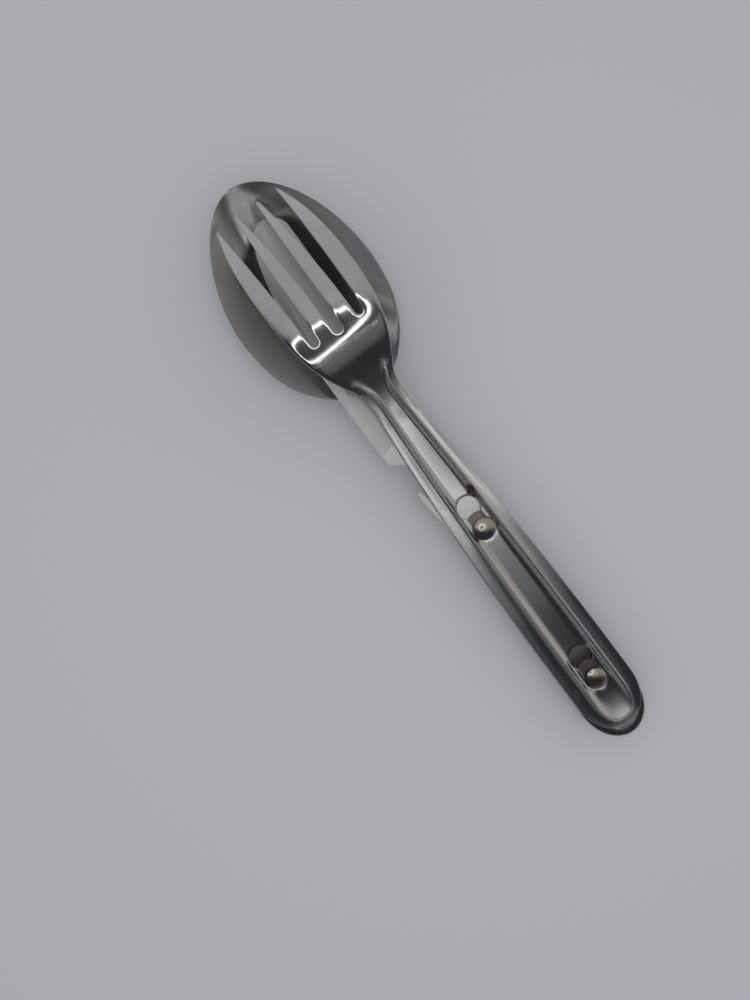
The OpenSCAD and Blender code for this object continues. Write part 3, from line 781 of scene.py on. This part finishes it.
def knife_wear(f, x, y):
    """A satin blade, grinding lines across its honed edge and painted shade beside the rear stud, in the rear
    keyhole's neck.
    """
    blade = 1 - x.ease(80.2, 80.6)
    ground = blade * (1 - y.ease(-8.4, -7.2))
    lines = f.noise(f.join(x * 7.0, y * 0.25, 4.0), 1.0, 2.0, 0.6)
    rough = 0.27 + blade * 0.16 + ground * 0.1 + ground * (lines - 0.5) * 0.4
    # painted shade: the knife's colour is darkened in the rear keyhole's neck, where the fork and stud shade
    # it
    painted_shade = band(x, 156, 164, 1.5) * 0.6
    honed = ground * (lines - 0.1) * 0.8
    return Wear(rough, dull=painted_shade - honed, marks=ground * lines * 2.0, brushing=0.4,
                metallic=1 - ground * 0.5)


def plain_wear(rough, brushing):
    def wear(f, x, y):
        return Wear(rough, brushing=brushing)
    return wear


def spoon_wear(f, x, y):
    """A polished bowl, duller at its tip and along its lower side."""
    low_side = (1 - y.ease(-15, -9)) * (1 - x.ease(58, 68))
    tip = 1 - x.ease(8, 18)
    return Wear(0.12 + low_side * 0.26 + tip * (1 - low_side) * 0.12, brushing=0.5)


# From a piece's own place to places measured from the spoon's tip and the set's middle line
PATTERN_X, PATTERN_Y = 91.7, 0.8
SHADE_LOW, SHADE_HIGH = 0.84, 1.1
RUST_COLOUR = (0.045, 0.028, 0.02, 1)
RELIEF, RELIEF_DEPTH = 0.1, 0.00005


def steel(name, tint, wear):
    """Worn stainless steel: lengthways brushing, smudges, the wear of its own places and any painted shade
    that its wear gives.
    """
    f = Finish(name)
    at = f.place()
    x, y, z = f.split(at)
    x = x + PATTERN_X
    y = y - PATTERN_Y
    streak = f.noise(f.join(x * 0.05, y * 3.0, z * 0.4), 1.6, 4.0, 0.65)
    smudge = f.noise(at, 0.1, 4.0, 0.6)
    w = wear(f, x, y)
    metallic = w.metallic
    roughness = (smudge - 0.5) * 0.12 + (streak - 0.5) * 0.1 * w.brushing + w.rough
    worn = (streak - 0.5) * 0.5 * w.brushing + (smudge - 0.5) * 0.5 + 0.5
    low, high = ((*(part * v for v in tint), 1) for part in (SHADE_LOW, SHADE_HIGH))
    shade = f.mix(worn.clamp(), low, high)
    # dull darkens the colour by wear and, on the knife, by painted shade
    if w.dull is not None:
        shade = f.scaled(shade, 1 - w.dull)
    if w.rust is not None:
        shade = f.mix(w.rust, shade, RUST_COLOUR)
        roughness = roughness + w.rust * 0.5
        metallic = 1 - w.rust * 0.9
    height = streak * 0.8 * w.brushing + smudge * 1.5
    if w.marks is not None:
        height = height + w.marks
    normal = f.bump(height, RELIEF, RELIEF_DEPTH)
    return f.end(f.metal(shade, roughness.clamp(), metallic, normal))


def build_metals():
    return {
        "fork": steel("fork_sheet", (0.62, 0.615, 0.615), fork_wear),
        "spoon": steel("spoon_sheet", (0.56, 0.55, 0.54), spoon_wear),
        "knife": steel("knife_plate", (0.66, 0.65, 0.645), knife_wear),
        "stud": steel("stud_metal", (0.54, 0.49, 0.42), plain_wear(0.17, 0.5)),
        "washer": steel("washer_metal", (0.3, 0.28, 0.25), plain_wear(0.4, 0.5)),
    }


# ---------------------------------------------------------------- the set
EDGE_R = 0.16
# How far in from its edge a pressed sheet starts to roll over, and by how much
FORK_ROLL, SPOON_ROLL = (0.9, 0.08), (0.7, 0.06)
metals = build_metals()


def finish_piece(obj, metal, body, slot, *nodes):
    if not obj.data.materials:
        obj.data.materials.append(metals[metal])
    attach(obj, body)
    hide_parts(*nodes)
    return obj


def build_fork():
    loop = spaced(fork_loop(), 0.22)
    holes = [spaced(keyhole(x), 0.2) for x in (FRONT_STUD_X, REAR_STUD_X)]
    inner = np.vstack([ellipse_rows(FORK_END_X), grid(FORK_TIP_X, NECK_X - 12.2, -14, 14, 0.5)])
    obj = plate("fork_sheet", loop, holes, inner, fork_top, fork_under, EDGE_R, FORK_ROLL)
    return finish_piece(obj, "fork", "fork_body", "fork_steel", "fork")


def build_spoon():
    loop = spaced(spoon_loop(), 0.3)
    holes = [spaced(keyhole(x), 0.2) for x in (FRONT_STUD_X, REAR_STUD_X)]
    inner = np.vstack([ellipse_rows(SPOON_L), grid(0, NECK_X - 12.3, -22.5, 22.5, 0.7)])
    obj = plate("spoon_sheet", loop, holes, inner, spoon_top, spoon_under, EDGE_R, SPOON_ROLL)
    return finish_piece(obj, "spoon", "spoon_body", "spoon_steel", "spoon")


def build_knife():
    loop = spaced(knife_loop(), 0.25)
    holes = [spaced(arc(x, 0, NECK_D / 2 + 0.02, 0, 360, 65)[:-1], 0.3) for x in (FRONT_STUD_X, REAR_STUD_X)]
    inner = [grid(KNIFE_TIP_X, KNIFE_END_X, -11, 7.5, 0.8)]
    for d in (0.3, 0.6, 0.95, 1.3, 1.65, 2.0, 2.3, 2.45, 2.55, 2.7):
        a = np.radians(np.linspace(10, 90, 150))
        p = belly_point(np.degrees(a))
        n = np.stack([EDGE_Y * np.cos(a), BELLY_L * np.sin(a)], 1)
        n /= np.hypot(*n.T)[:, None]
        inner.append(p + n * d)
        xs = np.arange(KNIFE_TIP_X + 0.4 + BELLY_L, PLUNGE_X + 1, 0.25)
        inner.append(np.stack([xs, np.full(len(xs), -EDGE_Y + d)], 1))
    obj = plate("knife_plate", loop, holes, np.vstack(inner), knife_top, knife_under, 0.1)
    return finish_piece(obj, "knife", "knife_body", "blade_steel", "knife")


class Turned(Tree):
    """A tree that turns a profile round an axis, from named sizes, and lays it into the set."""

    AROUND = 72

    def __init__(self, name, sizes, steps, profile):
        self.group = bpy.data.node_groups.new(name, "GeometryNodeTree")
        super().__init__(self.group)
        sockets = self.group.interface
        sockets.new_socket("Geometry", in_out="OUTPUT", socket_type="NodeSocketGeometry")
        self.idents = {}
        for size in sizes:
            socket = sockets.new_socket(size, in_out="INPUT", socket_type="NodeSocketFloat")
            self.idents[size] = socket.identifier
        for extra, kind in (("Centre", "NodeSocketVector"), ("Material", "NodeSocketMaterial")):
            self.idents[extra] = sockets.new_socket(extra, in_out="INPUT", socket_type=kind).identifier
        given = self.nodes.new("NodeGroupInput").outputs
        values = {o.name: Value(self, o) for o in given}
        grid = self.node("GeometryNodeMeshGrid", {}, {"Size X": 1.0, "Size Y": 1.0, "Vertices X": steps + 1,
                                                      "Vertices Y": self.AROUND + 1})
        u, v, _ = self.split(self.node("GeometryNodeInputPosition", {}, {}))
        radius, height = profile(self, (u + 0.5) * steps, values)
        turn = (v + 0.5) * (2 * math.pi)
        place = self.join(radius * turn.math("COSINE"), radius * turn.math("SINE"), height)
        shape = self.node("GeometryNodeSetPosition", {}, {"Geometry": grid, "Position": place})
        shape = self.node("GeometryNodeMergeByDistance", {}, {"Geometry": shape, "Distance": 0.000001})
        shape = self.node("GeometryNodeTransform", {}, {"Geometry": shape, "Translation": values["Centre"],
                                                        "Rotation": (0.0, LIE, 0.0)})
        shape = self.node("GeometryNodeRealizeInstances", {}, {"Geometry": shape})
        shape = self.node("GeometryNodeSetMaterial", {}, {"Geometry": shape, "Material": values["Material"]})
        self.links.new(shape.socket, self.nodes.new("NodeGroupOutput").inputs["Geometry"])

    def build(self, name, centre_x, metal, sizes):
        """One piece with the given sizes in mm."""
        obj = bpy.data.objects.new(name, bpy.data.meshes.new(name))
        bpy.context.scene.collection.objects.link(obj)
        made = obj.modifiers.new("turned", "NODES")
        made.node_group = self.group
        for size, value in sizes.items():
            made[self.idents[size]] = value * MM
        made[self.idents["Centre"]] = tuple(to_row([(centre_x, 0, 0)])[0])
        made[self.idents["Material"]] = metals[metal]
        state = bpy.context.evaluated_depsgraph_get()
        mesh = bpy.data.meshes.new_from_object(obj.evaluated_get(state), depsgraph=state)
        obj.modifiers.clear()
        obj.data = mesh
        corners = np.array([[mesh.vertices[i].co for i in f.vertices[:3]] for f in mesh.polygons])
        centre = corners.mean((0, 1))
        out = np.cross(corners[:, 1] - corners[:, 0], corners[:, 2] - corners[:, 0])
        if (out * (corners[:, 0] - centre)).sum() < 0:
            mesh.flip_normals()
        mesh.shade_smooth()
        mesh.set_sharp_from_angle(angle=math.radians(35))
        return obj


def step_up(k, low, high):
    """0 up to place low on the profile, 1 from place high on."""
    return ((k - low) * (1 / (high - low))).clamp()


HEAD_STEPS = 20


def stud_profile(tree, k, given):
    """Neck, underside, filleted wall and dome, the same at both ends."""
    k = k - HEAD_STEPS
    end, k = k.math("SIGN"), k.math("ABSOLUTE")
    radius, neck, fillet = given["Head radius"], given["Neck radius"], given["Fillet"]
    cap = given["Dome height"]
    dome = (radius * radius + cap * cap) / (cap * 2.0)
    widest = (radius / dome).math("ARCSINE")
    lean = widest * (1 - step_up(k, 4, HEAD_STEPS))
    under, turn, wall = step_up(k, 1, 2), step_up(k, 2, 3), step_up(k, 3, 4)
    r = neck + (radius - fillet - neck) * under + fillet * turn + dome * lean.math("SINE") - radius
    z = given["Underside"] * step_up(k, 0, 1) + fillet * turn + (given["Wall height"] - fillet) * wall
    z = z + dome * (lean.math("COSINE") - widest.math("COSINE"))
    return r, z * end


def washer_profile(tree, k, given):
    """A flat ring with its two outer corners eased."""
    hole, rim, ease = given["Hole radius"], given["Outer radius"], given["Ease"]
    low, thick = given["Lower face"], given["Thickness"]
    first, last = step_up(k, 1, 2), step_up(k, 3, 4)
    r = hole + (rim - ease - hole) * (step_up(k, 0, 1) - step_up(k, 4, 5)) + ease * (first - last)
    z = low + ease * (first + last) + (thick - ease * 2.0) * step_up(k, 2, 3) - thick * step_up(k, 5, 6)
    return r, z


def build_studs():
    tree = Turned("turned_stud", ("Head radius", "Neck radius", "Fillet", "Dome height", "Underside",
                                  "Wall height"), 2 * HEAD_STEPS, stud_profile)
    for name, x, d in (("front_stud", FRONT_STUD_X, FRONT_HEAD_D), ("rear_stud", REAR_STUD_X, REAR_HEAD_D)):
        obj = tree.build(name + "_turned", x, "stud", {
            "Head radius": d / 2, "Neck radius": NECK_D / 2, "Fillet": 0.08, "Underside": HEAD_IN,
            "Dome height": HEAD_H - HEAD_WALL_H, "Wall height": HEAD_WALL_H})
        finish_piece(obj, "stud", "knife_body", "stud_nickel", name)


def build_washers():
    tree = Turned("turned_washer", ("Hole radius", "Outer radius", "Ease", "Lower face", "Thickness"), 6,
                  washer_profile)
    for place, x in (("front", FRONT_STUD_X), ("rear", REAR_STUD_X)):
        for side, low in (("fork", KNIFE_FACE), ("spoon", -KNIFE_FACE - WASHER_T)):
            obj = tree.build(f"{place}_{side}_washer", x, "washer", {
                "Hole radius": NECK_D / 2 + 0.02, "Outer radius": WASHER_D / 2, "Ease": 0.08,
                "Lower face": low, "Thickness": WASHER_T})
            finish_piece(obj, "washer", "knife_body", "washer_steel", f"{place}_washer_{side}_side")


build_fork()
build_spoon()
build_knife()
build_studs()
build_washers()


# ---------------------------------------------------------------- floor, light and camera
TURN = math.radians(53.13)
ROLL = math.radians(-0.17)
RIGHT = np.array([math.cos(TURN), math.sin(TURN), 0])
UP = np.array([-math.sin(TURN), math.cos(TURN), 0])
CAM = np.array([-2.61, -17.97, 210.0]) * MM


def build_floor():
    mesh = bpy.data.meshes.new("floor")
    s = 3.0
    mesh.from_pydata([(-s, -s, 0), (s, -s, 0), (s, s, 0), (-s, s, 0)], [], [(0, 1, 2, 3)])
    floor = bpy.data.objects.new("floor", mesh)
    bpy.context.scene.collection.objects.link(floor)
    f = Finish("pale_board")
    shader = f.node("ShaderNodeBsdfPrincipled", {}, {"Base Color": (0.78, 0.79, 0.82, 1), "Roughness": 0.7})
    mesh.materials.append(f.end(shader))


def build_world():
    """Even light for matt surfaces; polished ones see low walls all round and a dark front above them."""
    f = Finish("room", world=True)
    way = f.node("ShaderNodeTexCoord", {}, {}, "Generated")

    def toward(v):
        return f.node("ShaderNodeVectorMath", {"operation": "DOT_PRODUCT"}, {0: way, 1: tuple(v)}, "Value")
    up, right, high = toward(UP), toward(RIGHT), toward((0, 0, 1))
    lit = up.ease(-0.15, -0.02)
    side = right.ease(-0.1, 0.7)
    wall = up.ease(-0.15, 0.1) * 0.6 + 0.4
    shade = lit * wall * (0.36 - side * 0.07)
    shade = shade * (high.ease(0.15, 0.6) * 0.4 + 0.6)
    low_wall = (1 - high.ease(0.3, 0.75)) * 0.17
    level = 0.03 + shade + up.ease(-0.29, -0.19) * 0.05 + low_wall
    warm = f.mix(side, (0.98, 0.99, 1.02, 1), (1.05, 1.0, 0.94, 1))
    colour = f.mix(up.ease(-0.2, 0.08), (0.94, 0.98, 1.08, 1), warm)
    glossy = f.node("ShaderNodeLightPath", {}, {}, "Is Glossy Ray")
    seen = f.node("ShaderNodeBackground", {}, {"Color": colour, "Strength": level})
    even = f.node("ShaderNodeBackground", {}, {"Color": (0.98, 0.99, 1.02, 1), "Strength": 0.5})
    both = f.node("ShaderNodeMixShader", {}, {0: glossy, 1: even, 2: seen})
    out = f.nodes.new("ShaderNodeOutputWorld")
    f.links.new(both.socket, out.inputs["Surface"])
    bpy.context.scene.world = f.block


RING_N, RING_R, LAMP_R, RING_GLOW = 36, np.array([0.037, 0.048, 0]), 0.004, 3.4
RING_AT = CAM + np.array([0.0155, 0.016, 0.002])
STRIP_AT = CAM + np.array([0.0655, 0.050, 0.002])
STRIP_SIZE, STRIP_GLOW = (0.015, 0.09), (0.16, 0.14, 0.11, 0.07)


def lamp(name, shape, size, glow, at):
    """An area lamp facing down, as bright to look at as glow."""
    data = bpy.data.lights.new(name, "AREA")
    data.shape, data.size, data.size_y = shape, *size
    area = size[0] * size[1] * (math.pi / 4 if shape == "DISK" else 1)
    data.energy = glow * math.pi * area
    obj = bpy.data.objects.new(name, data)
    bpy.context.scene.collection.objects.link(obj)
    obj.location = at


def build_lights():
    """An oval ring light over the set and a dim panel beside it that fades along the handles."""
    for k in range(RING_N):
        a = 2 * math.pi * k / RING_N
        lamp(f"ring_lamp_{k}", "DISK", (2 * LAMP_R, 2 * LAMP_R), RING_GLOW,
             RING_AT + RING_R * np.array([math.cos(a), math.sin(a), 0]))
    for k, glow in enumerate(STRIP_GLOW):
        lamp(f"strip_lamp_{k}", "RECTANGLE", STRIP_SIZE, glow, STRIP_AT + np.array([STRIP_SIZE[0] * k, 0, 0]))


def build_camera():
    data = bpy.data.cameras.new("camera")
    data.lens, data.sensor_width = 27.0, 36.0
    data.clip_start, data.clip_end = 0.01, 20
    cam = bpy.data.objects.new("camera", data)
    bpy.context.scene.collection.objects.link(cam)
    cam.location = CAM
    cam.rotation_euler = (0, 0, TURN + ROLL)
    bpy.context.scene.camera = cam


build_floor()
build_world()
build_lights()
build_camera()
bpy.context.scene.view_settings.view_transform = "Standard"
